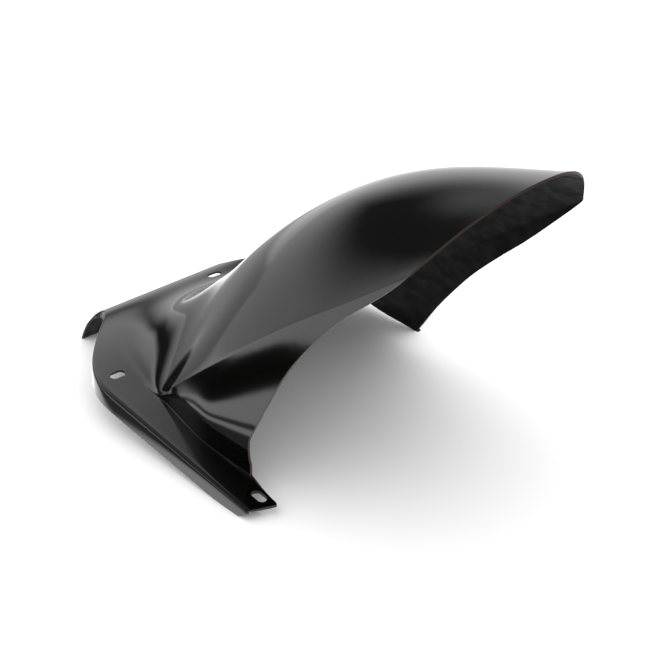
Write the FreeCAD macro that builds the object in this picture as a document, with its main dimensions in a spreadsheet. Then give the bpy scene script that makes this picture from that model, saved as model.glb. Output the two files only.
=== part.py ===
import FreeCAD, Part
import math
import os

# Motorcycle rear fender, one moulded sheet.
# Frame: +X to the rear of the motorcycle, +Y to its right, +Z up, floor at zero.
# The sheet is laid out as cross sections along X.  Each section runs from the
# left lip over the flange, the wall, the crease and the crown to the right lip.

NODE = "rear_fender"
DEGREE = 3
REAR_STATIONS = 9

doc = FreeCAD.newDocument(NODE)
sheet = doc.addObject("Spreadsheet::Sheet", "Params")

PARAMS = [
    ("front_edge_x", -226.5, "foot of the apron, so that the origin is below the middle"),
    ("body_length", 454.0, "foot of the apron to the rear edge of the crown"),
    ("flange_half_width", 147.0, "centre plane to the lip fold"),
    ("crown_height", 290.0, "floor to the rear edge of the crown"),
    ("sheet_thickness", 2.0, "moulded wall"),
    ("fold_size", 4.5, "rounding of the lip fold"),
    ("crease_size", 2.6, "rounding of the wall foot and the crease"),
    ("lip_depth", 16.5, "deepest left lip"),
    ("lip_depth_right", 29.0, "deepest right lip"),
    ("slot_width", 8.2, "bolt slots"),
    ("slot_length", 14.0, "bolt slots"),
    ("slot_depth", 60.0, "height of the slot cutter"),
    ("left_front_slot_x", -107.5, "left flange, front slot"),
    ("left_front_slot_y", -126.0, "left flange, front slot"),
    ("left_rear_slot_x", 72.5, "left flange, rear slot"),
    ("left_rear_slot_y", -128.5, "left flange, rear slot"),
    ("plate_slot_x", -179.5, "front plate slot"),
    ("plate_slot_y", 33.0, "front plate slot"),
    ("right_slot_x", -62.5, "right flange slot"),
    ("right_slot_y", 135.0, "right flange slot"),
]

for row, (alias, value, note) in enumerate(PARAMS, start=1):
    sheet.set("A%d" % row, alias)
    sheet.set("B%d" % row, str(value))
    sheet.set("C%d" % row, note)
    sheet.setAlias("B%d" % row, alias)
doc.recompute()


def value(alias):
    """Number held by one cell of the sheet."""
    return float(getattr(sheet, alias))


SCALE_X = value("body_length") / 454.0
SHIFT_X = value("front_edge_x") + 230.0 * SCALE_X
SCALE_Y = value("flange_half_width") / 147.0
SCALE_Z = value("crown_height") / 290.0
FOLD = value("fold_size")
CREASE = value("crease_size")

# Guide curves: (position along X, half width or height), both in millimetres.
FOLD_LINE = [(-230, 75), (-222, 78), (-212, 78), (-200, 74), (-179, 93), (-150, 123),
             (-136, 134.5), (-118, 144.5), (-100, 147), (230, 147)]
APRON = [(-230, 0), (-222, 18), (-212, 31), (-204, 37.5), (-196, 40.3)]
FLANGE_HEIGHT = APRON + [(-185, 41.5), (-165, 41.5), (-140, 39.3), (-100, 33.9),
                         (0, 20.2), (78, 9.5), (230, -11)]
CROWN_LINE = APRON + [(-185, 41.8), (-165, 45), (-140, 62), (-115, 86), (-92, 109),
                      (-66, 136), (-29, 171.5), (17, 207.5), (60, 235), (102, 255.5),
                      (141, 269.5), (178, 279.5), (224, 290)]
WALL_FOOT = [(-90, 102), (-55, 112), (-44, 116), (-28, 120), (-7, 122), (20, 121),
             (48, 119), (230, 105)]
CREASE_WIDTH = [(-80, 114.6), (230, 82.6)]
CREASE_HEIGHT = [(-80, 30), (-54, 46), (-24, 71), (10, 100), (42, 126), (82, 157),
                 (130, 191), (175, 224.5), (230, 263)]
WALL_BREAK = [(-80, 2), (-40, 11), (0, 23), (47, 36), (100, 50), (230, 70)]
HUMP_WIDTH = [(-200, 62), (-160, 92), (-120, 106), (-80, 114), (-50, 118)]

# Trim of the rear edge: (height, X) down both walls, (half width, X) over the crown.
LEFT_TRIM = [(15, 48), (40, 45), (60, 52), (79, 60), (99, 69), (116, 78), (142, 96),
             (163, 114), (182, 132), (200, 153), (225, 178)]
RIGHT_TRIM = [(22, -16), (46, 1), (64, 17), (80, 29), (109, 56), (134, 82), (160, 111),
              (193, 149), (214, 172), (225, 180)]
CROWN_TRIM = [(0, 224), (16, 223), (31, 219), (46, 212.5), (60, 204.5), (72, 196.5),
              (83, 186.5), (89, 178)]
LEFT_FLANGE_ENDS = [66, 75, 81, 86, 97, 48]
RIGHT_FLANGE_ENDS = [-44, -43, -42, -41, -43, -4]
LEFT_LIP_FALL = (45.0, 0.125)
RIGHT_LIP_FALL = (-46.0, 0.20)

# Where the section poles lie: shares of the half width in front, of the wall, of the crown.
FRONT_SHARES = [0.88, 0.81, 0.74, 0.67, 0.60, 0.53, 0.45, 0.36, 0.25, 0.13, 0.0]
CROWN_SHARES = [0.975, 0.74, 0.38, 0.0]
FRONT_STATIONS = [-230, -220, -209, -199, -187, -172, -154, -136, -117, -98, -84, -73, -65, -58, -51]
RIGHT_APRON_TRIM = 28.0
LEAST_MITRE = 0.6
FLANGE_END_TAPER = 5.0
WALL_TOP_POLE = 10
FLANGE_POLES = 6
STRIP_KNOTS = [0, 2, 3, 6, 8, 10]
STATION_KNOTS = [3, 7, 12]


def curve(x, points):
    """Value at x of the smooth, never overshooting curve through the points."""
    if x <= points[0][0]:
        return points[0][1]
    if x >= points[-1][0]:
        return points[-1][1]
    slopes = [(b[1] - a[1]) / (b[0] - a[0]) for a, b in zip(points, points[1:])]
    tangents = [slopes[0]]
    for before, after in zip(slopes, slopes[1:]):
        same_way = before * after > 0
        tangents.append(2 * before * after / (before + after) if same_way else 0.0)
    tangents.append(slopes[-1])
    for index, (start, end) in enumerate(zip(points, points[1:])):
        if x <= end[0]:
            span = end[0] - start[0]
            t = (x - start[0]) / span
            rise = t * t * (3 - 2 * t)
            lead = span * t * (1 - t)
            bend = tangents[index] * (1 - t) - tangents[index + 1] * t
            return start[1] * (1 - rise) + end[1] * rise + lead * bend


def ease(x, start, end):
    """Smooth step from 0 at start to 1 at end."""
    t = min(1.0, max(0.0, (x - start) / (end - start)))
    return t * t * (3 - 2 * t)


def fold_width(x, side):
    """Half width at the lip fold: the apron is cut shorter on the right."""
    trim = RIGHT_APRON_TRIM * (1 - ease(x, -205, -186)) if side > 0 else 0.0
    return curve(x, FOLD_LINE) - trim


def lip_poles(x, side):
    """Poles of the folded lip, from its free edge to the fold."""
    fold_y = fold_width(x, side)
    flange_z = curve(x, FLANGE_HEIGHT)
    contact, fall = LEFT_LIP_FALL if side < 0 else RIGHT_LIP_FALL
    deepest = value("lip_depth") if side < 0 else value("lip_depth_right")
    drop = min(deepest, flange_z - max(0.0, fall * (contact - x)))
    fold_share = ease(x, -226, -200)
    drop = 5.0 + (drop - 5.0) * fold_share
    angle = fold_share * math.radians(88)
    near = min(FOLD, 0.4 * drop)
    poles = []
    for reach in (drop, near):
        poles.append((fold_y + reach * math.cos(angle), flange_z - reach * math.sin(angle)))
    return poles + [(fold_y, flange_z)]


def front_height(x, y):
    """Height of the front plate with the hump that grows into the crown."""
    flange_z = curve(x, FLANGE_HEIGHT)
    rise = curve(x, CROWN_LINE) - flange_z
    return flange_z + rise * (1 - min(1.0, y / curve(x, HUMP_WIDTH)) ** 2) ** 2


def front_widths(x, side):
    """Half widths of the poles across the front plate."""
    fold_y = fold_width(x, side)
    return [fold_y - min(FOLD, 0.03 * fold_y)] + [fold_y * share for share in FRONT_SHARES]


def rear_poles(x):
    """Poles of the flange, the two-facet wall, the crease and the arched crown."""
    fold_y = curve(x, FOLD_LINE)
    flange_z = curve(x, FLANGE_HEIGHT)
    foot_y = curve(x, WALL_FOOT)
    crease_y = curve(x, CREASE_WIDTH)
    crease_z = curve(x, CREASE_HEIGHT)
    crown_rise = curve(x, CROWN_LINE) - crease_z
    taper = FLANGE_END_TAPER * ease(x, 50, 85)
    poles = [(fold_y - FOLD, flange_z), (foot_y + CREASE + taper, flange_z), (foot_y, flange_z)]
    height = max(1.0, crease_z - flange_z)
    share = min(0.5, curve(x, WALL_BREAK) / height)
    break_z = flange_z + height * share
    poles += [(foot_y, flange_z + min(CREASE, 0.3 * height * share)), (foot_y, break_z)]
    length = max(1.0, math.hypot(foot_y - crease_y, crease_z - break_z))
    for part in (0.5, 1 - min(0.25, CREASE / length), 1.0):
        poles.append((foot_y + (crease_y - foot_y) * part, break_z + (crease_z - break_z) * part))
    for share in CROWN_SHARES:
        poles.append((crease_y * share, crease_z + crown_rise * (1 - share ** 2)))
    return poles


def section(x, side):
    """Half section at x: (half width, height) poles from the lip to the centre plane."""
    poles = lip_poles(x, side)
    spread = ease(x, -106, -60)
    for width, (rear_y, rear_z) in zip(front_widths(x, side), rear_poles(x)):
        y = width + (rear_y - width) * spread
        low_front = front_height(x, y)
        turn = ease(x, -67, -50) if len(poles) <= WALL_TOP_POLE else ease(x, -135, -40)
        poles.append((y, low_front + (rear_z - low_front) * turn))
    return poles


def rear_end(side, pole):
    """X at which one line of poles meets the trimmed rear edge."""
    if pole < FLANGE_POLES:
        return (LEFT_FLANGE_ENDS if side < 0 else RIGHT_FLANGE_ENDS)[pole]
    if pole <= WALL_TOP_POLE:
        trim = LEFT_TRIM if side < 0 else RIGHT_TRIM
        low, high = -30.0, 182.0
        for _ in range(40):
            middle = (low + high) / 2
            inside = middle < curve(section(middle, side)[pole][1], trim)
            low, high = (middle, high) if inside else (low, middle)
        return low
    x = 200.0
    for _ in range(30):
        x = (x + curve(section(x, side)[pole][0], CROWN_TRIM)) / 2
    return x


def pole_line(side, pole):
    """Points of one line of poles from the apron to the rear edge."""
    start = FRONT_STATIONS[-1]
    end = rear_end(side, pole)
    stations = list(FRONT_STATIONS)
    for step in range(1, REAR_STATIONS + 1):
        stations.append(start + (end - start) * step / REAR_STATIONS)
    line = []
    for x in stations:
        y, z = section(x, side)[pole]
        line.append(FreeCAD.Vector(x * SCALE_X + SHIFT_X, side * y * SCALE_Y, z * SCALE_Z))
    return line


def pole_net():
    """Poles of the outer face, one list for each line from left lip to right lip."""
    count = len(section(0.0, -1))
    left = [pole_line(-1, pole) for pole in range(count)]
    right = [pole_line(1, pole) for pole in range(count - 1)]
    return left + right[::-1]


def offset_net(net, distance):
    """Poles of the inner face: the outer net moved in by the thickness, mitred at folds."""
    lines = len(net)
    stations = len(net[0])
    moved = []
    for i in range(lines):
        row = []
        for j in range(stations):
            before = net[max(i, 1)][j] - net[max(i, 1) - 1][j]
            after = net[min(i, lines - 2) + 1][j] - net[min(i, lines - 2)][j]
            before.normalize()
            after.normalize()
            across = before + after
            across.normalize()
            along = net[i][min(j + 1, stations - 1)] - net[i][max(j - 1, 0)]
            normal = along.cross(across)
            normal.normalize()
            mitre = distance / max(LEAST_MITRE, across.dot(after))
            point = net[i][j] - normal * mitre
            point.z = max(point.z, 0.0)
            row.append(point)
        moved.append(row)
    return moved


def knots(count, degree):
    """Even knots with full ends for so many poles."""
    spans = count - degree
    places = [float(k) / spans for k in range(spans + 1)]
    return places, [degree + 1] + [1] * (spans - 1) + [degree + 1]


def strips(net, degrees, cuts):
    """Faces of the spline surface over a net of poles, cut along knot lines."""
    knots_u, mults_u = knots(len(net), degrees[0])
    knots_v, mults_v = knots(len(net[0]), degrees[1])
    faces = []
    for start_u, end_u in zip(cuts[0], cuts[0][1:]):
        for start_v, end_v in zip(cuts[1], cuts[1][1:]):
            surface = Part.BSplineSurface()
            surface.buildFromPolesMultsKnots(net, mults_u, mults_v, knots_u, knots_v,
                                             False, False, degrees[0], degrees[1])
            surface.segment(knots_u[start_u], knots_u[end_u], knots_v[start_v], knots_v[end_v])
            faces.append(surface.toShape())
    return faces


def moulded_sheet(thickness):
    """Solid between the outer face and the inner face."""
    outer = pole_net()
    inner = offset_net(outer, thickness)
    last = len(outer) - DEGREE
    across = STRIP_KNOTS + [last - knot for knot in reversed(STRIP_KNOTS)]
    along = [0] + STATION_KNOTS + [len(outer[0]) - DEGREE]
    faces = []
    for skin in (outer, inner):
        faces += strips(skin, (DEGREE, DEGREE), (across, along))
    for row in (0, -1):
        faces += strips([outer[row], inner[row]], (1, DEGREE), ([0, 1], along))
    for column in (0, -1):
        edge = [[line[column] for line in skin] for skin in (outer, inner)]
        faces += strips(edge, (1, DEGREE), ([0, 1], across))
    joined = Part.makeCompound(faces)
    joined.sewShape(0.001)
    solid = Part.makeSolid(joined.Shells[0])
    if solid.Volume < 0:
        solid.reverse()
    return solid


blank = doc.addObject("Part::Feature", "MouldedSheet")
blank.Shape = moulded_sheet(value("sheet_thickness"))
blank.Placement = FreeCAD.Placement()


def slot_cutter(name, place, along_y):
    """Upright slot: a box with a round post at both ends."""
    turn = 90 if along_y else 0
    straight = "(Params.slot_length - Params.slot_width)"
    box = doc.addObject("Part::Box", name + "Middle")
    box.setExpression("Length", straight)
    box.setExpression("Width", "Params.slot_width")
    box.setExpression("Height", "Params.slot_depth")
    box.setExpression("Placement.Base.x", "-%s / 2" % straight)
    box.setExpression("Placement.Base.y", "-Params.slot_width / 2")
    pieces = [box]
    for end, sign in (("Front", "-"), ("Rear", "")):
        post = doc.addObject("Part::Cylinder", name + end)
        post.setExpression("Radius", "Params.slot_width / 2")
        post.setExpression("Height", "Params.slot_depth")
        post.setExpression("Placement.Base.x", "%s%s / 2" % (sign, straight))
        pieces.append(post)
    cutter = doc.addObject("Part::MultiFuse", name)
    cutter.Shapes = pieces
    cutter.Placement = FreeCAD.Placement(FreeCAD.Vector(0, 0, 0),
                                         FreeCAD.Rotation(FreeCAD.Vector(0, 0, 1), turn))
    cutter.setExpression("Placement.Base.x", "Params.%s_x" % place)
    cutter.setExpression("Placement.Base.y", "Params.%s_y" % place)
    return cutter


slots = doc.addObject("Part::MultiFuse", "Slots")
slots.Shapes = [
    slot_cutter("LeftFrontSlot", "left_front_slot", True),
    slot_cutter("LeftRearSlot", "left_rear_slot", False),
    slot_cutter("PlateSlot", "plate_slot", True),
    slot_cutter("RightSlot", "right_slot", False),
]

fender = doc.addObject("Part::Cut", "Fender")
fender.Base = blank
fender.Tool = slots
fender.Label = NODE
doc.recompute()

for item in doc.Objects:
    if "Invalid" in item.State or "Error" in item.State:
        raise RuntimeError("%s did not rebuild" % item.Name)
    if hasattr(item, "Shape") and (item.Shape.isNull() or not item.Shape.isValid()):
        raise RuntimeError("%s has no valid shape" % item.Name)
if len(fender.Shape.Solids) != 1:
    raise RuntimeError("the fender is not one solid")

os.makedirs("parts", exist_ok=True)
fender.Shape.exportStep("parts/%s.step" % NODE)
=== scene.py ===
"""A one-piece motorcycle rear fender on a white floor: gloss black outside, rough black inside."""

import logging
import math
from dataclasses import dataclass, field
from enum import IntEnum
from functools import partial, reduce
from typing import ClassVar

import bpy
import numpy as np
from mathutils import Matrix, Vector


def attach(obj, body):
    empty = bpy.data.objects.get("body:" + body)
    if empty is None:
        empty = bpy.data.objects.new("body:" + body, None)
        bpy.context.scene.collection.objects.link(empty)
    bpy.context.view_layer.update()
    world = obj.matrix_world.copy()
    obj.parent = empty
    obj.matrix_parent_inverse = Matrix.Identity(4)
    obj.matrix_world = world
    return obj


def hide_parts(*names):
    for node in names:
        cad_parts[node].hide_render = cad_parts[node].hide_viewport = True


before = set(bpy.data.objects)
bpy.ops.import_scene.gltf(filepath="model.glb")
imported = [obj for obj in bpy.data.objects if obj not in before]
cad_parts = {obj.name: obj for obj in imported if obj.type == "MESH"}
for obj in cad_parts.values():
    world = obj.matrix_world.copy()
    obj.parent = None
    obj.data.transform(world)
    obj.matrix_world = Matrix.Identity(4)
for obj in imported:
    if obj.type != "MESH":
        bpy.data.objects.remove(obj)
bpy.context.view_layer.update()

log = logging.getLogger("fender")
NODE = "rear_fender"
BODY = "root"
MM = 0.001
HALVINGS = 40
KNOT_GAP = 1e-9
RELIEF_DETAIL = 4.0
RELIEF_NOISE = (0.3, 0.7)

# Two places and the values that a smooth step has before the first and after the second
Ramp = tuple[float, float, float, float]
# Two places between which a value rises from 0 to 1, and two between which it falls again
Plateau = tuple[float, float, float, float]


class Side(IntEnum):
    """Side of the wheel plane, as the sign of Y."""

    LEFT = -1
    RIGHT = 1

    @property
    def place(self) -> int:
        """Place of the side in a pair of left and right values."""
        return int(self > 0)


class Slot(IntEnum):
    """Material slots of the shell."""

    OUTSIDE = 0
    INSIDE = 1
    CUT_EDGE = 2


def ease(x: np.ndarray, start: float, end: float) -> np.ndarray:
    """Smooth step.

    Args:
        x: Places to evaluate.
        start: Where the step leaves 0.
        end: Where the step reaches 1.

    Returns:
        Values from 0 to 1.
    """
    t = np.clip((x - start) / (end - start), 0.0, 1.0)
    return t * t * (3 - 2 * t)


@dataclass(frozen=True)
class Guide:
    """Smooth curve through a few points that never overshoots them."""

    points: tuple[tuple[float, float], ...]

    def __call__(self, x: np.ndarray) -> np.ndarray:
        """Evaluate the curve.

        Args:
            x: Places along the curve's first axis.

        Returns:
            Values on its second axis, held level past both ends.
        """
        px, py = np.array(self.points, dtype=float).T
        slope = np.diff(py) / np.diff(px)
        product = slope[:-1] * slope[1:]
        total = np.where(product > 0, slope[:-1] + slope[1:], 1.0)
        inner = np.where(product > 0, 2 * product / total, 0.0)
        tangent = np.concatenate([slope[:1], inner, slope[-1:]])
        x = np.clip(np.asarray(x, dtype=float), px[0], px[-1])
        index = np.clip(np.searchsorted(px, x) - 1, 0, len(px) - 2)
        span = px[index + 1] - px[index]
        t = (x - px[index]) / span
        rise = t * t * (3 - 2 * t)
        bend = tangent[index] * (1 - t) - tangent[index + 1] * t
        return py[index] * (1 - rise) + py[index + 1] * rise + span * t * (1 - t) * bend


# Heights of the apron, shared by the flange and the crown line
APRON = ((-230, 0), (-222, 18), (-212, 31), (-204, 37.5), (-196, 40.3))


@dataclass(frozen=True)
class FenderForm:
    """Guide curves of the moulded sheet, in millimetres from the wheel plane and the floor."""

    front_edge: float = -226.5
    thickness: float = 2.0
    fold: float = 4.5
    least_fold_share: float = 0.03
    crease: float = 2.6
    least_mitre: float = 0.6
    right_apron_trim: float = 28.0
    apron_trim_span: tuple[float, float] = (-205.0, -186.0)
    flange_end_taper: float = 5.0
    flange_taper_span: tuple[float, float] = (50.0, 85.0)
    flat_lip: float = 5.0
    lip_start: tuple[float, float] = (-226.0, -200.0)
    lip_angle: float = 88.0
    lip_fold_share: float = 0.4
    foot_share: float = 0.3
    break_share: float = 0.5
    crease_share: float = 0.25
    wall_span: tuple[float, float] = (24.0, 224.0)
    wall_turn: tuple[float, float] = (-84.0, -56.0)
    wall_spread: tuple[float, float] = (-160.0, -70.0)
    flange_tip: tuple[float, float] = (84.2, 123.0)
    flange_foot: tuple[float, float] = (47.5, 119.5)
    flange_end_slope: float = 0.32
    rear_search: tuple[float, float] = (-30.0, 182.0)
    crown_start: float = 200.0
    lip_depths: tuple[float, float] = (16.5, 29.0)
    lip_contacts: tuple[float, float] = (45.0, -46.0)
    lip_falls: tuple[float, float] = (0.125, 0.20)
    fold_line: Guide = Guide(((-230, 75), (-222, 78), (-212, 78), (-200, 74), (-179, 93), (-150, 123),
                              (-136, 134.5), (-118, 144.5), (-100, 147), (230, 147)))
    flange_height: Guide = Guide(APRON + ((-185, 41.5), (-165, 41.5), (-140, 39.3), (-100, 33.9),
                                          (0, 20.2), (78, 9.5), (230, -11)))
    crown_line: Guide = Guide(APRON + ((-185, 41.8), (-165, 45), (-140, 62), (-115, 86), (-92, 109),
                                       (-66, 136), (-29, 171.5), (17, 207.5), (60, 235), (102, 255.5),
                                       (141, 269.5), (178, 279.5), (224, 290)))
    wall_foot: Guide = Guide(((-120, 119), (-75, 117), (-58, 116.5), (-44, 118), (-28, 120), (-7, 122),
                              (20, 121), (48, 119), (230, 105)))
    crease_width: Guide = Guide(((-80, 114.6), (230, 82.6)))
    crease_height: Guide = Guide(((-80, 30), (-54, 46), (-24, 71), (10, 100), (42, 126), (82, 157),
                                  (130, 191), (175, 224.5), (230, 263)))
    wall_break: Guide = Guide(((-80, 2), (-40, 11), (0, 23), (47, 36), (100, 50), (230, 70)))
    hump_width: Guide = Guide(((-200, 62), (-160, 92), (-120, 106), (-80, 114), (-50, 118)))
    wall_trims: tuple[Guide, Guide] = (
        Guide(((15, 48), (40, 45), (60, 52), (79, 60), (99, 69), (116, 78), (142, 96), (163, 114),
               (182, 132), (200, 153), (225, 178))),
        Guide(((22, -16), (46, 1), (64, 15.5), (80, 29.5), (109, 56), (134, 82), (160, 111), (193, 149),
               (214, 172), (225, 182))))
    crown_trim: Guide = Guide(((0, 224), (16, 223), (31, 219), (46, 212.5), (60, 204.5), (72, 196.5),
                               (83, 186.5), (89, 178)))
    flange_ends: tuple[tuple[float, ...], ...] = ((66, 75, 81, 90, 130, 48), (-44, -43, -42, -41, -43, -10))

    FRONT_SHARES: ClassVar[tuple[float, ...]] = (0.88, 0.81, 0.74, 0.67, 0.60, 0.53, 0.45, 0.36, 0.25,
                                                 0.13, 0.0)
    CROWN_SHARES: ClassVar[tuple[float, ...]] = (0.975, 0.74, 0.38, 0.0)
    FRONT_STATIONS: ClassVar[tuple[float, ...]] = (-230, -220, -209, -199, -187, -172, -154, -136, -117,
                                                   -98, -84, -73, -65, -58, -51)
    REAR_STATIONS: ClassVar[int] = 9
    LIP_POLES: ClassVar[int] = 3
    WALL_TOP_POLE: ClassVar[int] = 10
    # Lines of poles on the crown that turn from the plate into the rear section over a stretch of their own
    CROWN_TURNS: ClassVar[dict[int, tuple[float, float]]] = {11: (-100, -50), 12: (-120, -15),
                                                             13: (-135, -40), 14: (-135, -40)}

    def fold_width(self, x: np.ndarray, side: Side) -> np.ndarray:
        """Half width at the lip fold: the apron is cut shorter on the right.

        Args:
            x: Stations along X.
            side: Side of the wheel plane.

        Returns:
            Half widths.
        """
        trim = self.right_apron_trim * (1 - ease(x, *self.apron_trim_span)) * side.place
        return self.fold_line(x) - trim

    def lip(self, x: np.ndarray, side: Side) -> list[np.ndarray]:
        """Poles of the folded lip, from its free edge to the fold.

        Args:
            x: Stations along X.
            side: Side of the wheel plane.

        Returns:
            Arrays of (half width, height), one for each pole.
        """
        which = side.place
        fold_y = self.fold_width(x, side)
        flange_z = self.flange_height(x)
        clearance = np.maximum(0.0, self.lip_falls[which] * (self.lip_contacts[which] - x))
        share = ease(x, *self.lip_start)
        drop = np.minimum(self.lip_depths[which], flange_z - clearance)
        drop = self.flat_lip + (drop - self.flat_lip) * share
        angle = share * math.radians(self.lip_angle)
        reaches = (drop, np.minimum(self.fold, self.lip_fold_share * drop), np.zeros_like(drop))
        return [np.stack([fold_y + r * np.cos(angle), flange_z - r * np.sin(angle)], -1) for r in reaches]

    def front_height(self, x: np.ndarray, y: np.ndarray) -> np.ndarray:
        """Height of the front plate with the hump that grows into the crown.

        Args:
            x: Stations along X.
            y: Half widths.

        Returns:
            Heights.
        """
        flange_z = self.flange_height(x)
        share = np.minimum(1.0, y / self.hump_width(x))
        return flange_z + (self.crown_line(x) - flange_z) * (1 - share**2) ** 2

    def rear(self, x: np.ndarray) -> list[np.ndarray]:
        """Poles of the flange, the two-facet wall, the crease and the arched crown.

        Args:
            x: Stations along X.

        Returns:
            Arrays of (half width, height), one for each pole.
        """
        flange_z = self.flange_height(x)
        foot = np.stack([self.wall_foot(x), flange_z], -1)
        crease = np.stack([self.crease_width(x), self.crease_height(x)], -1)
        rise = self.crown_line(x) - crease[:, 1]
        taper = self.flange_end_taper * ease(x, *self.flange_taper_span)
        level = np.zeros_like(x)
        up = np.maximum(1.0, crease[:, 1] - flange_z)
        break_up = np.minimum(self.break_share * up, self.wall_break(x))
        turn = foot + np.stack([level, break_up], -1)
        poles = [np.stack([self.fold_line(x) - self.fold, flange_z], -1),
                 foot + np.stack([self.crease + taper, level], -1), foot,
                 foot + np.stack([level, np.minimum(self.crease, self.foot_share * break_up)], -1), turn]
        length = np.maximum(1.0, np.hypot(*(crease - turn).T))
        margin = np.minimum(self.crease_share, self.crease / length)
        for share in (level + 0.5, 1 - margin, level + 1.0):
            poles.append(turn + (crease - turn) * share[:, None])
        for share in self.CROWN_SHARES:
            poles.append(np.stack([crease[:, 0] * share, crease[:, 1] + rise * (1 - share**2)], -1))
        return poles

    def section(self, x: np.ndarray, side: Side) -> np.ndarray:
        """Half sections from the lip to the wheel plane.

        Args:
            x: Stations along X.
            side: Side of the wheel plane.

        Returns:
            Array (stations, poles, 2) of half widths and heights.
        """
        poles = self.lip(x, side)
        fold_y = self.fold_width(x, side)
        widths = [fold_y - np.minimum(self.fold, self.least_fold_share * fold_y)]
        widths += [fold_y * share for share in self.FRONT_SHARES]
        spread = ease(x, *self.wall_spread)
        for width, rear in zip(widths, self.rear(x)):
            y = width + (rear[:, 0] - width) * spread
            low = self.front_height(x, y)
            turn = ease(x, *self.CROWN_TURNS.get(len(poles), self.wall_turn))
            poles.append(np.stack([y, low + (rear[:, 1] - low) * turn], -1))
        return np.stack(poles, 1)

    def rear_ends(self, side: Side, poles: int) -> np.ndarray:
        """Where the lines of poles meet the trimmed rear edge.

        Args:
            side: Side of the wheel plane.
            poles: Number of lines on one side.

        Returns:
            X for each line.
        """
        flange = np.array(self.flange_ends[side.place], dtype=float)
        lines = np.arange(poles)
        low, high = (np.full(poles, end) for end in self.rear_search)
        crown = np.full(poles, self.crown_start)
        for _ in range(HALVINGS):
            middle = (low + high) / 2
            inside = middle < self.wall_trims[side.place](self.section(middle, side)[lines, lines, 1])
            low = np.where(inside, middle, low)
            high = np.where(inside, high, middle)
            crown = (crown + self.crown_trim(self.section(crown, side)[lines, lines, 0])) / 2
        ends = np.where(lines <= self.WALL_TOP_POLE, low, crown)
        ends[: len(flange)] = flange
        return ends

    def net(self) -> np.ndarray:
        """Poles of the outer face from the left lip to the right lip.

        Returns:
            Array (lines, stations, 3) in millimetres.
        """
        front = np.array(self.FRONT_STATIONS, dtype=float)
        steps = np.arange(1, self.REAR_STATIONS + 1) / self.REAR_STATIONS
        poles = self.LIP_POLES + 1 + len(self.FRONT_SHARES)
        halves = []
        for side in Side:
            ends = self.rear_ends(side, poles)
            rows = []
            for line, end in enumerate(ends):
                x = np.concatenate([front, front[-1] + (end - front[-1]) * steps])
                yz = self.section(x, side)[:, line]
                rows.append(np.stack([x - front[0] + self.front_edge, side * yz[:, 0], yz[:, 1]], -1))
            halves.append(np.stack(rows))
        return np.concatenate([halves[0], halves[1][-2::-1]])

    def rear_limit(self, points: np.ndarray) -> np.ndarray:
        """Trim of the walls' rear edges and of the left flange's end; the crown is not limited.

        Args:
            points: Points of the surface, in rows of (x, y, z).

        Returns:
            Largest X at each point.
        """
        y, z = points[:, 1], points[:, 2]
        left, right = (trim(z) for trim in self.wall_trims)
        limit = np.where(y < 0, left, right) - self.FRONT_STATIONS[0] + self.front_edge
        on_wall = (z > self.wall_span[0]) & (z < self.wall_span[1])
        across = -y - self.flange_tip[1]
        run, width = np.subtract(self.flange_tip, self.flange_foot)
        end = self.flange_tip[0] + np.minimum(run / width * across, -self.flange_end_slope * across)
        end = np.maximum(end, self.flange_foot[0]) - self.FRONT_STATIONS[0] + self.front_edge
        on_flange = (z <= self.wall_span[0]) & (y < 0)
        return np.where(on_wall, limit, np.where(on_flange, end, np.inf))

    def inner_net(self, net: np.ndarray) -> np.ndarray:
        """Poles of the inner face: the outer net moved in by the thickness, mitred at folds.

        Args:
            net: Poles of the outer face.

        Returns:
            Array of the same shape, never below the floor.
        """
        steps = np.diff(net, axis=0)
        steps /= np.linalg.norm(steps, axis=-1, keepdims=True)
        before = np.concatenate([steps[:1], steps])
        after = np.concatenate([steps, steps[-1:]])
        across = before + after
        across /= np.linalg.norm(across, axis=-1, keepdims=True)
        padded = np.pad(net, ((0, 0), (1, 1), (0, 0)), mode="edge")
        normal = np.cross(padded[:, 2:] - padded[:, :-2], across)
        normal /= np.linalg.norm(normal, axis=-1, keepdims=True)
        mitre = np.maximum(self.least_mitre, np.sum(across * after, -1, keepdims=True))
        moved = net - normal * self.thickness / mitre
        moved[..., 2] = np.maximum(moved[..., 2], 0.0)
        return moved


def even_steps(poles: int, per_span: int, degree: int = 3) -> np.ndarray:
    """Even parameters over all knot spans of a spline.

    Args:
        poles: Number of poles.
        per_span: Samples in each knot span.
        degree: Degree of the spline.

    Returns:
        Parameters from 0 to the number of spans.
    """
    spans = poles - degree
    return np.linspace(0.0, spans, spans * per_span + 1)


def spline_basis(poles: int, at: np.ndarray, degree: int = 3) -> np.ndarray:
    """Basis of an even spline with full ends.

    Args:
        poles: Number of poles.
        at: Parameters, in an array of any shape.
        degree: Degree of the spline.

    Returns:
        Array of weights with one more axis, of the poles.
    """
    spans = poles - degree
    inner = np.arange(spans + 1, dtype=float)
    knots = np.concatenate([np.zeros(degree), inner, np.full(degree, float(spans))])
    at = at[..., None]
    last = np.minimum(at, spans - KNOT_GAP)
    basis = ((knots[:-1] <= last) & (last < knots[1:])).astype(float)
    for order in range(1, degree + 1):
        left = knots[order:-1] - knots[: -order - 1]
        right = knots[order + 1:] - knots[1:-order]
        lead = (at - knots[: -order - 1]) / np.where(left > 0, left, 1.0) * (left > 0)
        tail = (knots[order + 1:] - at) / np.where(right > 0, right, 1.0) * (right > 0)
        basis = lead * basis[..., :-1] + tail * basis[..., 1:]
    return basis


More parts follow.
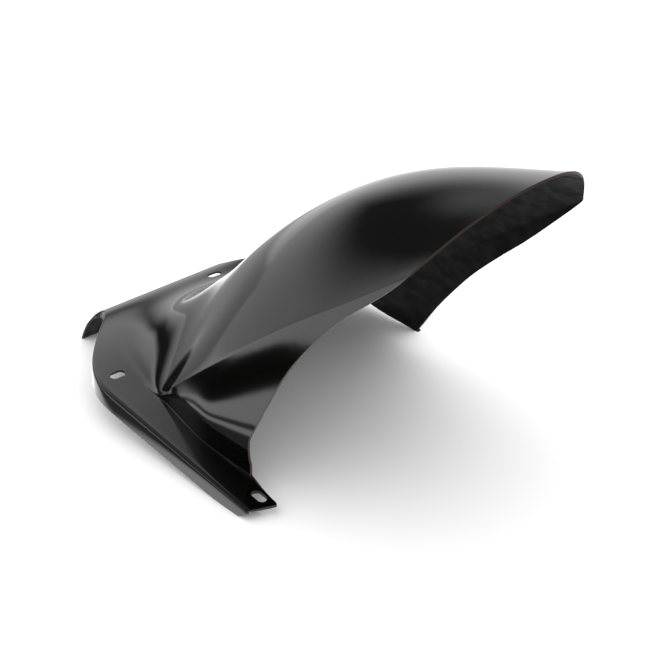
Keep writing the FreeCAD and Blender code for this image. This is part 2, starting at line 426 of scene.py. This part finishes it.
class Nodes:
    """Short helper around a node tree."""

    def __init__(self, tree: bpy.types.NodeTree) -> None:
        self.tree = tree

    def add(self, kind: str, **settings: object) -> bpy.types.Node:
        """Add a node.

        Args:
            kind: Blender's node type.
            settings: Properties of the node.

        Returns:
            The new node.
        """
        node = self.tree.nodes.new(kind)
        for name, value in settings.items():
            setattr(node, name, value)
        return node

    def link(self, source: bpy.types.NodeSocket, target: bpy.types.NodeSocket) -> None:
        """Connect two sockets.

        Args:
            source: Output socket.
            target: Input socket.
        """
        self.tree.links.new(source, target)

    def ramp(self, source: bpy.types.NodeSocket, low: float, high: float, start: float,
             end: float) -> bpy.types.NodeSocket:
        """Smooth step of a value.

        Args:
            source: Value to read.
            low: Value at which the step starts.
            high: Value at which the step ends.
            start: Result before the step.
            end: Result after the step.

        Returns:
            The stepped value.
        """
        node = self.add("ShaderNodeMapRange", interpolation_type="SMOOTHSTEP")
        self.link(source, node.inputs["Value"])
        for name, value in (("From Min", low), ("From Max", high), ("To Min", start), ("To Max", end)):
            node.inputs[name].default_value = value
        return node.outputs["Result"]

    def math(self, operation: str, *values: object) -> bpy.types.NodeSocket:
        """Arithmetic on sockets and numbers.

        Args:
            operation: Blender's name of the operation.
            values: Sockets or plain numbers.

        Returns:
            The result.
        """
        node = self.add("ShaderNodeMath", operation=operation)
        for socket, value in zip(node.inputs, values):
            if isinstance(value, bpy.types.NodeSocket):
                self.link(value, socket)
            else:
                socket.default_value = value
        return node.outputs[0]

    def chain(self, operation: str, *values: object) -> bpy.types.NodeSocket:
        """One operation over several values in turn.

        Args:
            operation: Blender's name of the operation.
            values: Sockets or plain numbers, a socket first.

        Returns:
            The result.
        """
        return reduce(partial(self.math, operation), values)

    def plateau(self, source: bpy.types.NodeSocket, edges: Plateau) -> bpy.types.NodeSocket:
        """Value that is 1 between two soft edges.

        Args:
            source: Value to read.
            edges: Where the result rises and where it falls again.

        Returns:
            Value from 0 to 1.
        """
        rise = self.ramp(source, *edges[:2], 0.0, 1.0)
        fall = self.ramp(source, *edges[2:], 1.0, 0.0)
        return self.math("MULTIPLY", rise, fall)


def relief_group() -> bpy.types.NodeTree:
    """Node group that turns noise on Object coordinates into a normal.

    Returns:
        The group, with inputs Scale and Distance and outputs Normal and Noise.
    """
    tree = bpy.data.node_groups.new("surface_relief", "ShaderNodeTree")
    for name in ("Scale", "Distance"):
        tree.interface.new_socket(name, in_out="INPUT", socket_type="NodeSocketFloat")
    tree.interface.new_socket("Normal", in_out="OUTPUT", socket_type="NodeSocketVector")
    tree.interface.new_socket("Noise", in_out="OUTPUT", socket_type="NodeSocketFloat")
    nodes = Nodes(tree)
    inputs = nodes.add("NodeGroupInput")
    outputs = nodes.add("NodeGroupOutput")
    place = nodes.add("ShaderNodeTexCoord")
    noise = nodes.add("ShaderNodeTexNoise")
    noise.inputs["Detail"].default_value = RELIEF_DETAIL
    bump = nodes.add("ShaderNodeBump")
    bump.inputs["Strength"].default_value = 1.0
    nodes.link(place.outputs["Object"], noise.inputs["Vector"])
    nodes.link(inputs.outputs["Scale"], noise.inputs["Scale"])
    nodes.link(noise.outputs["Fac"], bump.inputs["Height"])
    nodes.link(inputs.outputs["Distance"], bump.inputs["Distance"])
    nodes.link(bump.outputs["Normal"], outputs.inputs["Normal"])
    nodes.link(noise.outputs["Fac"], outputs.inputs["Noise"])
    return tree


@dataclass(frozen=True)
class Finish:
    """Look of one surface."""

    name: str
    colour: tuple[float, float, float]
    roughness: float
    relief_scale: float
    relief_depth: float
    roughness_spread: float = 0.0
    specular: float = 0.5

    def material(self, relief: bpy.types.NodeTree) -> bpy.types.Material:
        """Make the material.

        Args:
            relief: Node group for the surface relief.

        Returns:
            The material.
        """
        material = bpy.data.materials.new(self.name)
        material.use_nodes = True
        nodes = Nodes(material.node_tree)
        shader = material.node_tree.nodes["Principled BSDF"]
        shader.inputs["Base Color"].default_value = (*self.colour, 1.0)
        shader.inputs["Roughness"].default_value = self.roughness
        shader.inputs["Specular IOR Level"].default_value = self.specular
        group = nodes.add("ShaderNodeGroup", node_tree=relief)
        group.inputs["Scale"].default_value = self.relief_scale
        group.inputs["Distance"].default_value = self.relief_depth
        nodes.link(group.outputs["Normal"], shader.inputs["Normal"])
        if self.roughness_spread:
            low = self.roughness - self.roughness_spread
            high = self.roughness + self.roughness_spread
            spread = nodes.ramp(group.outputs["Noise"], *RELIEF_NOISE, low, high)
            nodes.link(spread, shader.inputs["Roughness"])
        return material


GLOSS_BLACK = Finish("gloss_black", (0.0015, 0.0015, 0.0014), 0.08, 9.0, 0.00012)
ROUGH_BLACK = Finish("rough_black", (0.0015, 0.0015, 0.0014), 0.6, 90.0, 0.0004, 0.08, 0.025)
CUT_EDGE = Finish("cut_edge", (0.016, 0.006, 0.005), 0.55, 400.0, 0.0001, 0.0, 0.2)


@dataclass
class SlotCutter:
    """Upright slot through the sheet, in millimetres."""

    name: str
    x: float
    y: float
    along_y: bool
    length: float = 14.0
    width: float = 8.2
    height: float = 60.0
    arc_points: int = 24

    def build(self, material: bpy.types.Material) -> bpy.types.Object:
        """Make the cutting solid.

        Args:
            material: Material of the cut wall.

        Returns:
            The cutter, not linked to the part.
        """
        angle = np.linspace(-math.pi / 2, math.pi / 2, self.arc_points)
        radius = self.width / 2
        shift = self.length / 2 - radius
        half = np.stack([shift + radius * np.cos(angle), radius * np.sin(angle)], -1)
        outline = np.concatenate([half, -half])
        if self.along_y:
            outline = np.stack([-outline[:, 1], outline[:, 0]], -1)
        count = len(outline)
        place = outline + (self.x, self.y)
        bottom = np.column_stack([place, np.zeros(count)])
        top = np.column_stack([place, np.full(count, self.height)])
        step = np.arange(count)
        after = np.roll(step, -1)
        walls = np.stack([step, after, after + count, step + count], -1).tolist()
        faces = walls + [step[::-1].tolist(), (step + count).tolist()]
        mesh = bpy.data.meshes.new(self.name)
        mesh.from_pydata((np.concatenate([bottom, top]) * MM).tolist(), [], faces)
        mesh.materials.append(material)
        mesh.update()
        cutter = bpy.data.objects.new(self.name, mesh)
        bpy.context.collection.objects.link(cutter)
        return cutter


@dataclass
class FenderShell:
    """The moulded sheet with its slots.

    Rows run from front to rear. Behind the spline parameter cut_start they are shortened to end on the
    trim.
    """

    form: FenderForm = field(default_factory=FenderForm)
    across_samples: int = 8
    along_samples: int = 9
    cut_start: float = 12.0
    slots: tuple[SlotCutter, ...] = (
        SlotCutter("left_front_slot", -107.5, -126.0, True),
        SlotCutter("left_rear_slot", 72.5, -128.5, False),
        SlotCutter("plate_slot", -179.5, 33.0, True),
        SlotCutter("right_slot", -62.5, 135.0, False))

    def skins(self) -> tuple[np.ndarray, np.ndarray]:
        """Outer and inner surface points.

        Returns:
            Two arrays (across, along, 3) in metres.
        """
        net = self.form.net()
        across = spline_basis(net.shape[0], even_steps(net.shape[0], self.across_samples))
        outer_rows, inner_rows = (np.einsum("ai,ijk->ajk", across, poles)
                                  for poles in (net, self.form.inner_net(net)))
        steps = even_steps(net.shape[1], self.along_samples)
        cut = self.cut_rows(outer_rows)
        rear = np.clip((steps - self.cut_start) / (steps[-1] - self.cut_start), 0.0, 1.0)
        along = spline_basis(net.shape[1], steps - (steps[-1] - cut[:, None]) * rear)
        outer, inner = (np.einsum("abj,ajk->abk", along, rows) * MM for rows in (outer_rows, inner_rows))
        return outer, inner

    def cut_rows(self, rows: np.ndarray) -> np.ndarray:
        """Where the rows of the surface meet the trimmed rear edge of the walls.

        Args:
            rows: Poles of each row, from the left lip to the right lip.

        Returns:
            Parameter of each row's end, found by halving.
        """
        poles = rows.shape[1]
        low = np.full(len(rows), self.cut_start)
        high = even_steps(poles, 1)[-1] + np.zeros(len(rows))
        for _ in range(HALVINGS):
            middle = (low + high) / 2
            points = np.einsum("aj,ajk->ak", spline_basis(poles, middle), rows)
            inside = points[:, 0] < self.form.rear_limit(points)
            low = np.where(inside, middle, low)
            high = np.where(inside, high, middle)
        return high

    def mesh(self, materials: list[bpy.types.Material]) -> bpy.types.Mesh:
        """Closed mesh of the sheet without its slots.

        Args:
            materials: Materials in the order of Slot.

        Returns:
            The mesh, with sharp edges along its cut border.
        """
        outer, inner = self.skins()
        rows, columns = outer.shape[:2]
        index = np.arange(rows * columns).reshape(rows, columns)
        quads = np.stack([index[:-1, :-1], index[:-1, 1:], index[1:, 1:], index[1:, :-1]], -1)
        quads = quads.reshape(-1, 4)
        border = np.concatenate([index[0, :-1], index[:-1, -1], index[-1, :0:-1], index[:0:-1, 0]])
        after = np.roll(border, -1)
        total = rows * columns
        edge = np.stack([after, border, border + total, after + total], -1)
        faces = np.concatenate([quads, quads[:, ::-1] + total, edge])
        slots = np.repeat([Slot.OUTSIDE, Slot.INSIDE, Slot.CUT_EDGE], [len(quads), len(quads), len(edge)])
        mesh = bpy.data.meshes.new(NODE + "_shell")
        mesh.from_pydata(np.concatenate([outer.reshape(-1, 3), inner.reshape(-1, 3)]), [], faces.tolist())
        mesh.polygons.foreach_set("material_index", slots.astype(np.int32))
        mesh.polygons.foreach_set("use_smooth", np.ones(len(faces), dtype=bool))
        for material in materials:
            mesh.materials.append(material)
        ends = np.empty(len(mesh.edges) * 2, dtype=np.int32)
        mesh.edges.foreach_get("vertices", ends)
        on_border = np.zeros(total * 2, dtype=bool)
        on_border[border] = True
        on_border[border + total] = True
        ends = ends.reshape(-1, 2)
        same_skin = (ends[:, 0] < total) == (ends[:, 1] < total)
        mesh.edges.foreach_set("use_edge_sharp", on_border[ends].all(1) & same_skin)
        mesh.update()
        return mesh

    def build(self, materials: list[bpy.types.Material]) -> bpy.types.Object:
        """Make the shell and cut its slots.

        Args:
            materials: Materials in the order of Slot.

        Returns:
            The finished piece.
        """
        shell = bpy.data.objects.new("fender_shell", self.mesh(materials))
        bpy.context.collection.objects.link(shell)
        cutters = [slot.build(materials[Slot.CUT_EDGE]) for slot in self.slots]
        for cutter in cutters:
            cut = shell.modifiers.new(cutter.name, "BOOLEAN")
            cut.operation = "DIFFERENCE"
            cut.solver = "EXACT"
            cut.object = cutter
            cut.material_mode = "TRANSFER"
        graph = bpy.context.evaluated_depsgraph_get()
        mesh = bpy.data.meshes.new_from_object(shell.evaluated_get(graph))
        shell.modifiers.clear()
        shell.data = mesh
        for cutter in cutters:
            bpy.data.objects.remove(cutter)
        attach(shell, BODY)
        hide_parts(NODE)
        log.info("shell has %d faces", len(mesh.polygons))
        return shell


@dataclass(frozen=True)
class Studio:
    """White floor, soft light from all sides and what the gloss mirrors.

    Places on the mirrored floor are in metres; the gloss sees that floor as a painted reflection, with
    painted light and painted shade. Directions of the mirrored room are in degrees: heights above the
    horizon, and turns from the front of the part towards its right.
    """

    floor_size: float = 12.0
    floor_colour: float = 0.9
    # Strength of the painted reflection of the floor, an emission that only glossy rays see
    painted_reflection_gain: float = 2.0
    # A dark patch painted on the mirrored floor, darkening its reflection
    patch_centre: tuple[float, float] = (-0.33, -0.37)
    patch_radii: tuple[float, float] = (0.20, 0.115)
    patch_edge: Ramp = (0.75, 1.15, 1.0, 0.0)
    # Dark strips painted on the mirrored floor: the one next to the part is its painted shadow, the farther
    # one a thin painted dark stripe
    painted_dark_strips: tuple[Plateau, ...] = ((-0.240, -0.233, -0.221, -0.214), (-0.203, -0.196, -0.170, -0.160))
    strips_front: Ramp = (-0.40, -0.34, 0.0, 0.9)
    # Regions of painted light on the mirrored floor, brighter towards the front, the right and the near
    # left
    front_light: Ramp = (-0.42, -0.25, 0.3, 1.0)
    right_light: Ramp = (0.1, 0.5, 0.0, 0.6)
    left_light: Ramp = (-0.40, -0.15, 0.9, 0.0)
    far_light: Ramp = (-1.6, -0.6, 0.5, 0.9)
    sky: float = 1.5
    softbox_heights: Plateau = (20.0, 32.0, 42.0, 66.0)
    softbox_turns: Plateau = (-60.0, -15.0, 38.0, 51.0)
    softbox_light: Ramp = (4.0, 36.0, 2.21, 1.7)
    backdrop_light: Ramp = (8.0, 30.0, 1.25, 0.0)
    backdrop_turns: Ramp = (4.0, 30.0, 0.0, 1.0)
    horizon_light: Ramp = (2.0, 15.0, 0.95, 0.0)
    behind_light: Ramp = (12.0, 30.0, 0.0, 0.8)
    behind_turns: Ramp = (60.0, 95.0, 0.0, 1.0)
    overhead_light: Ramp = (62.0, 80.0, 0.0, 0.8)
    room: float = 0.06
    lens: float = 102.46
    sensor: float = 36.0
    target: tuple[float, float, float] = (0.0035, 0.0, 0.0807)
    azimuth: float = 48.1
    elevation: float = 29.8
    distance: float = 1.4764
    clip_end: float = 50.0

    def floor_light(self, nodes: Nodes, x: bpy.types.NodeSocket,
                    y: bpy.types.NodeSocket) -> bpy.types.NodeSocket:
        """Light of the floor as the gloss mirrors it: pale, with a dark patch and dark strips.

        Args:
            nodes: Helper of the floor's tree.
            x: Place along the part.
            y: Place across the part.

        Returns:
            Strength of the painted light, with painted shade where the patch and strips are dark.
        """
        offsets = [nodes.math("DIVIDE", nodes.math("SUBTRACT", place, centre), radius)
                   for place, centre, radius in zip((x, y), self.patch_centre, self.patch_radii)]
        squares = [nodes.math("MULTIPLY", offset, offset) for offset in offsets]
        patch = nodes.ramp(nodes.chain("ADD", *squares), *self.patch_edge)
        # Painted shade: dark strips on the mirrored floor, the nearer one the part's painted shadow
        painted_dark_strips = nodes.chain("MAXIMUM", *(nodes.plateau(y, edges) for edges in self.painted_dark_strips))
        painted_dark_strips = nodes.math("MULTIPLY", painted_dark_strips, nodes.ramp(x, *self.strips_front))
        shown = nodes.math("SUBTRACT", 1.0, nodes.math("MAXIMUM", patch, painted_dark_strips))
        left = nodes.math("MINIMUM", nodes.ramp(y, *self.left_light), nodes.ramp(x, *self.far_light))
        light = nodes.chain("MAXIMUM", nodes.ramp(x, *self.front_light),
                            nodes.ramp(y, *self.right_light), left)
        return nodes.chain("MULTIPLY", shown, light, self.painted_reflection_gain)

    def floor(self) -> bpy.types.Object:
        """White floor.

        Returns:
            The floor, kept out of the object.
        """
        # The gloss sees this floor as a painted reflection: an emission for glossy rays in place of its lit
        # surface
        material = bpy.data.materials.new("floor")
        material.use_nodes = True
        shader = material.node_tree.nodes["Principled BSDF"]
        shader.inputs["Base Color"].default_value = (self.floor_colour,) * 3 + (1.0,)
        shader.inputs["Roughness"].default_value = 1.0
        shader.inputs["Specular IOR Level"].default_value = 0.0
        nodes = Nodes(material.node_tree)
        place = nodes.add("ShaderNodeTexCoord")
        parts = nodes.add("ShaderNodeSeparateXYZ")
        nodes.link(place.outputs["Object"], parts.inputs[0])
        # Painted reflection: glossy rays see this emission in place of the lit floor
        mirrored = nodes.add("ShaderNodeEmission")
        light = self.floor_light(nodes, parts.outputs["X"], parts.outputs["Y"])
        nodes.link(light, mirrored.inputs["Strength"])
        path = nodes.add("ShaderNodeLightPath")
        mix = nodes.add("ShaderNodeMixShader")
        nodes.link(path.outputs["Is Glossy Ray"], mix.inputs[0])
        nodes.link(shader.outputs[0], mix.inputs[1])
        nodes.link(mirrored.outputs[0], mix.inputs[2])
        nodes.link(mix.outputs[0], material.node_tree.nodes["Material Output"].inputs["Surface"])
        half = self.floor_size / 2
        mesh = bpy.data.meshes.new("floor")
        mesh.from_pydata([(-half, -half, 0), (half, -half, 0), (half, half, 0), (-half, half, 0)], [],
                         [(0, 1, 2, 3)])
        mesh.materials.append(material)
        floor = bpy.data.objects.new("floor", mesh)
        bpy.context.collection.objects.link(floor)
        return floor

    def room_light(self, nodes: Nodes, height: bpy.types.NodeSocket,
                   turn: bpy.types.NodeSocket) -> bpy.types.NodeSocket:
        """Light of the room as the gloss mirrors it: a softbox and a backdrop in a dim room.

        Args:
            nodes: Helper of the world's tree.
            height: Degrees above the horizon.
            turn: Degrees from the front of the part towards its right.

        Returns:
            Strength of the light.
        """
        softbox = nodes.chain("MULTIPLY", nodes.plateau(height, self.softbox_heights),
                              nodes.plateau(turn, self.softbox_turns),
                              nodes.ramp(turn, *self.softbox_light))
        backdrop = nodes.math("MULTIPLY", nodes.ramp(height, *self.backdrop_light),
                              nodes.ramp(turn, *self.backdrop_turns))
        behind = nodes.math("MULTIPLY", nodes.ramp(height, *self.behind_light),
                            nodes.ramp(nodes.math("ABSOLUTE", turn), *self.behind_turns))
        walls = nodes.chain("MAXIMUM", backdrop, behind, nodes.ramp(height, *self.overhead_light),
                            nodes.ramp(height, *self.horizon_light), self.room)
        return nodes.math("ADD", softbox, walls)

    def world(self) -> None:
        """White surroundings for light, and the mirrored room for reflections."""
        world = bpy.data.worlds.new("studio")
        bpy.context.scene.world = world
        world.use_nodes = True
        world.node_tree.nodes.clear()
        nodes = Nodes(world.node_tree)
        path = nodes.add("ShaderNodeLightPath")
        direction = nodes.add("ShaderNodeTexCoord")
        parts = nodes.add("ShaderNodeSeparateXYZ")
        nodes.link(direction.outputs["Generated"], parts.inputs[0])
        height = nodes.math("DEGREES", nodes.math("ARCSINE", parts.outputs["Z"]))
        forward = nodes.math("MULTIPLY", parts.outputs["X"], -1.0)
        turn = nodes.math("DEGREES", nodes.math("ARCTAN2", parts.outputs["Y"], forward))
        mirrored = nodes.add("ShaderNodeBackground")
        nodes.link(self.room_light(nodes, height, turn), mirrored.inputs["Strength"])
        plain = nodes.add("ShaderNodeBackground")
        plain.inputs["Strength"].default_value = self.sky
        for shader in (mirrored, plain):
            shader.inputs["Color"].default_value = (1.0, 1.0, 1.0, 1.0)
        mix = nodes.add("ShaderNodeMixShader")
        output = nodes.add("ShaderNodeOutputWorld")
        nodes.link(path.outputs["Is Glossy Ray"], mix.inputs[0])
        nodes.link(plain.outputs[0], mix.inputs[1])
        nodes.link(mirrored.outputs[0], mix.inputs[2])
        nodes.link(mix.outputs[0], output.inputs[0])

    def camera(self) -> None:
        """Camera of the photo."""
        data = bpy.data.cameras.new("camera")
        data.sensor_width = self.sensor
        data.lens = self.lens
        data.clip_end = self.clip_end
        azimuth = math.radians(self.azimuth)
        elevation = math.radians(self.elevation)
        target = Vector(self.target)
        away = Vector((math.sin(azimuth) * math.cos(elevation), -math.cos(azimuth) * math.cos(elevation),
                       math.sin(elevation)))
        camera = bpy.data.objects.new("camera", data)
        camera.location = target + away * self.distance
        camera.rotation_euler = (-away).to_track_quat("-Z", "Y").to_euler()
        bpy.context.collection.objects.link(camera)
        bpy.context.scene.camera = camera

    def build(self) -> None:
        """Set up the floor, the light and the camera."""
        self.floor()
        self.world()
        self.camera()
        bpy.context.scene.view_settings.view_transform = "Standard"


def main() -> None:
    """Build the object, then the studio."""
    logging.basicConfig(level=logging.INFO, format="%(name)s: %(message)s")
    relief = relief_group()
    materials = [finish.material(relief) for finish in (GLOSS_BLACK, ROUGH_BLACK, CUT_EDGE)]
    FenderShell().build(materials)
    Studio().build()


if __name__ == "__main__":
    main()
